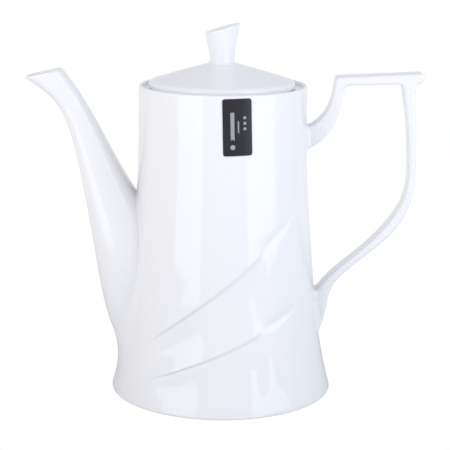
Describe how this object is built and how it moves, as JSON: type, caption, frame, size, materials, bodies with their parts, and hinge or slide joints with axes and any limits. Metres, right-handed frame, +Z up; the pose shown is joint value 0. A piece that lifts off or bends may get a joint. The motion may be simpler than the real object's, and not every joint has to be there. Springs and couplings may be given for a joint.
{
  "type": "coffee pot",
  "caption": "Tall waisted porcelain coffee pot with a swan-neck spout, an angular strap handle and a lift-off conical lid with a slanted knob.",
  "frame": {"origin": "on the body's axis, on the flat surface that the foot ring stands on", "axes": "+Z up along the body's axis, +X towards the handle, -X towards the spout, -Y towards the front with the label"},
  "size_m": [0.217, 0.124, 0.2056],
  "materials": {
    "glazed_porcelain": "clear gloss glaze over white porcelain",
    "unglazed_foot": "ground bisque",
    "black_label": "printed vinyl sticker"
  },
  "bodies": {
    "pot": {"pot_body": "glazed_porcelain", "foot_ring": "unglazed_foot", "spout": "glazed_porcelain", "handle": "glazed_porcelain", "label": "black_label"},
    "lid_ring": {"lid_collar": "glazed_porcelain"},
    "lid": {"lid_cover": "glazed_porcelain", "lid_knob": "glazed_porcelain"}
  },
  "joints": [
    {"name": "lid_lift", "type": "slide", "parent": "pot", "child": "lid_ring", "axis": [0, 0, 1], "range_m": [0, 0.08]},
    {"name": "lid_turn", "type": "hinge", "parent": "lid_ring", "child": "lid", "pos_m": [-0.0006, 0, 0.1704], "axis": [0, 0, 1], "continuous": true}
  ]
}
